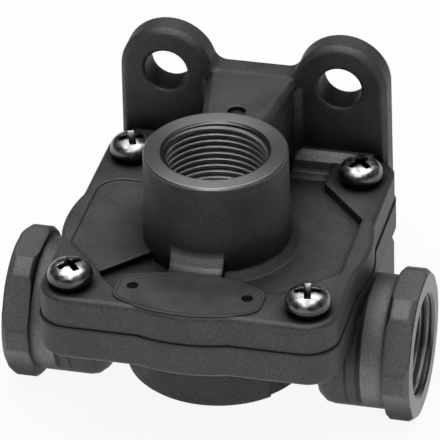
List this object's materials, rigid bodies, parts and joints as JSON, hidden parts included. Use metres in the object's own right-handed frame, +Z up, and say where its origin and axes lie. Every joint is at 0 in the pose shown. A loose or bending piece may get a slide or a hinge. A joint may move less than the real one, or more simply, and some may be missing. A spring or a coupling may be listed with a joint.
{
  "type": "quick release valve",
  "caption": "Compact air brake quick release valve: square two-part housing, screwed supply port on top, two side ports, exhaust below and a two-lug rear bracket.",
  "frame": {"origin": "where the vertical axis of the supply port and exhaust crosses the common axis of the two side ports", "axes": "+Z up out of the supply port, +X out of the right side port, +Y towards the bracket's mounting face"},
  "size_m": [0.0876, 0.0724, 0.0655],
  "materials": {
    "casting": "die-cast, sand-grey",
    "rubber": "moulded",
    "zinc_steel": "bright zinc plated",
    "plate_aluminium": "satin",
    "pin_steel": "dark"
  },
  "bodies": {
    "housing": {"upper_housing": "casting", "lower_housing": "casting", "housing_seal": "rubber", "cover_screws": "zinc_steel", "spring_washers": "pin_steel", "type_plate": "plate_aluminium", "plate_pins": "pin_steel"},
    "diaphragm": {"diaphragm": "rubber"}
  },
  "joints": [
    {"name": "diaphragm_lift", "type": "slide", "parent": "housing", "child": "diaphragm", "axis": [0, 0, 1], "range_m": [0, 0.0019]}
  ]
}
